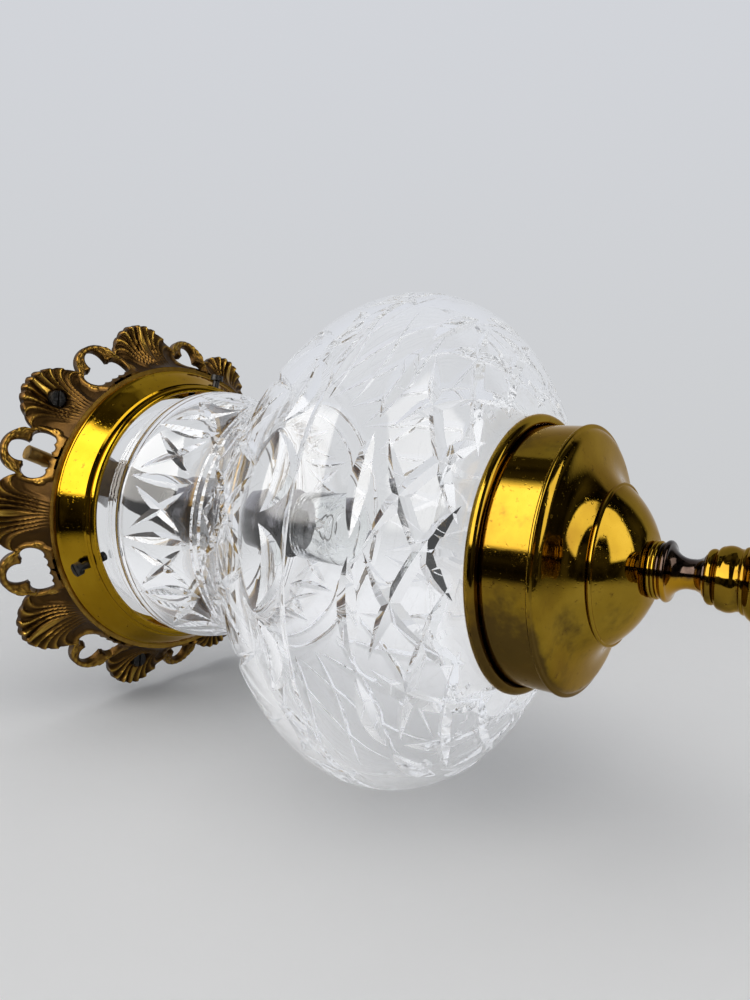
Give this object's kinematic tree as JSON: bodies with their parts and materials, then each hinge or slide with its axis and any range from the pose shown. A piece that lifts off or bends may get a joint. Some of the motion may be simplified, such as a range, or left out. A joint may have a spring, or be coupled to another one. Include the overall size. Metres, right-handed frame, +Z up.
{
  "type": "ceiling lantern",
  "caption": "Ceiling lantern: a bell-shaped cut-glass globe gripped by screws in a brass collar under cast leaves, a clear tube bulb inside, and a brass cap with a turned finial below.",
  "frame": {"origin": "centre of the ceiling face, in the plane of the ceiling and on the lantern's axis", "axes": "+Z up into the ceiling along the lantern's axis; the lantern hangs towards -Z; -Y is the side from which angles are counted towards +X"},
  "size_m": [0.1692, 0.1692, 0.2934],
  "materials": {
    "antique_brass": "cast, dark in the hollows and rubbed bright on the ribs",
    "polished_brass": "spun and polished, lightly stained",
    "aged_brass": "plain turned or pressed, dulled",
    "dark_bronze": "turned brass with a dark patina",
    "black_steel": "blackened steel",
    "plated_steel": "zinc plated",
    "nickel": "nickel plated brass, slightly dull",
    "ceramic": "glazed porcelain",
    "white_plastic": "moulded, white",
    "brown_insulation": "smooth cable insulation",
    "blue_insulation": "smooth cable insulation",
    "black_insulator": "vitreous black",
    "cut_glass": "clear heavy glass with mitre and lens cuts",
    "bulb_glass": "thin clear glass",
    "filament_wire": "fine wound wire",
    "solder": "dull solder",
    "washer_rubber": "soft",
    "pad_rubber": "soft, black"
  },
  "bodies": {
    "gallery": {"leaf_gallery": "antique_brass", "collar_band": "polished_brass", "ceiling_screws": "black_steel", "cross_strap": "aged_brass", "strap_screws": "aged_brass", "strap_nut": "aged_brass", "earth_terminal": "aged_brass", "earth_screw": "aged_brass", "threaded_nipple": "aged_brass", "nipple_washers": "aged_brass", "nipple_nuts": "aged_brass", "terminal_block": "white_plastic", "terminal_inserts": "aged_brass", "terminal_screws": "plated_steel", "block_screw": "plated_steel", "live_lead": "brown_insulation", "neutral_lead": "blue_insulation", "holder_dome": "nickel", "holder_skirt": "nickel", "holder_ring": "nickel", "holder_core": "ceramic", "lamp_thread_shell": "aged_brass", "centre_tab": "aged_brass", "holder_terminals": "aged_brass"},
    "pad_1": {"glass_pad_1": "pad_rubber"},
    "screw_1": {"retaining_screw_1": "black_steel"},
    "pad_2": {"glass_pad_2": "pad_rubber"},
    "screw_2": {"retaining_screw_2": "black_steel"},
    "pad_3": {"glass_pad_3": "pad_rubber"},
    "screw_3": {"retaining_screw_3": "black_steel"},
    "globe": {"cut_glass_globe": "cut_glass", "inner_rubber_washer": "washer_rubber", "outer_rubber_washer": "washer_rubber", "inner_brass_washer": "aged_brass", "outer_brass_washer": "aged_brass", "inner_rod_nut": "aged_brass", "outer_rod_nut": "aged_brass", "tie_rod": "aged_brass"},
    "cap": {"cap_rim": "polished_brass", "cap_dome": "polished_brass"},
    "finial": {"finial_washer": "polished_brass", "finial_reel": "dark_bronze", "finial_barrel": "polished_brass", "finial_knob": "polished_brass"},
    "bulb_contact": {"bulb_tip": "solder"},
    "bulb": {"bulb_insulator": "black_insulator", "bulb_base": "nickel", "bulb_envelope": "bulb_glass", "bulb_stem": "bulb_glass", "filament_supports": "plated_steel", "filament": "filament_wire"}
  },
  "joints": [
    {"name": "grip_travel_1", "type": "slide", "parent": "gallery", "child": "pad_1", "axis": [-0.3681, -0.9298, 0], "range_m": [0, 0.0034]},
    {"name": "grip_turn_1", "type": "hinge", "parent": "pad_1", "child": "screw_1", "pos_m": [0, 0, -0.029], "axis": [-0.3681, -0.9298, 0], "range_deg": [0, 2460]},
    {"name": "grip_travel_2", "type": "slide", "parent": "gallery", "child": "pad_2", "axis": [0.9893, 0.1461, 0], "range_m": [0, 0.0034]},
    {"name": "grip_turn_2", "type": "hinge", "parent": "pad_2", "child": "screw_2", "pos_m": [0, 0, -0.029], "axis": [0.9893, 0.1461, 0], "range_deg": [0, 2460]},
    {"name": "grip_travel_3", "type": "slide", "parent": "gallery", "child": "pad_3", "axis": [-0.6211, 0.7837, 0], "range_m": [0, 0.0034]},
    {"name": "grip_turn_3", "type": "hinge", "parent": "pad_3", "child": "screw_3", "pos_m": [0, 0, -0.029], "axis": [-0.6211, 0.7837, 0], "range_deg": [0, 2460]},
    {"name": "globe_lower", "type": "slide", "parent": "gallery", "child": "globe", "axis": [0, 0, -1], "range_m": [0, 0.12]},
    {"name": "cap_lower", "type": "slide", "parent": "globe", "child": "cap", "axis": [0, 0, -1], "range_m": [0, 0.008]},
    {"name": "finial_turn", "type": "hinge", "parent": "cap", "child": "finial", "pos_m": [0, 0, -0.24], "axis": [0, 0, -1], "range_deg": [0, 2900]},
    {"name": "bulb_lower", "type": "slide", "parent": "gallery", "child": "bulb_contact", "axis": [0, 0, -1], "range_m": [0, 0.0084]},
    {"name": "bulb_turn", "type": "hinge", "parent": "bulb_contact", "child": "bulb", "pos_m": [0, 0, -0.08], "axis": [0, 0, -1], "range_deg": [0, 1090]}
  ],
  "couplings": [
    {"joint": "grip_turn_1", "follows": "grip_travel_1", "rad_per_m": 12566},
    {"joint": "grip_turn_2", "follows": "grip_travel_2", "rad_per_m": 12566},
    {"joint": "grip_turn_3", "follows": "grip_travel_3", "rad_per_m": 12566},
    {"joint": "finial_turn", "follows": "cap_lower", "rad_per_m": 6283.2},
    {"joint": "bulb_turn", "follows": "bulb_lower", "rad_per_m": 2244}
  ]
}
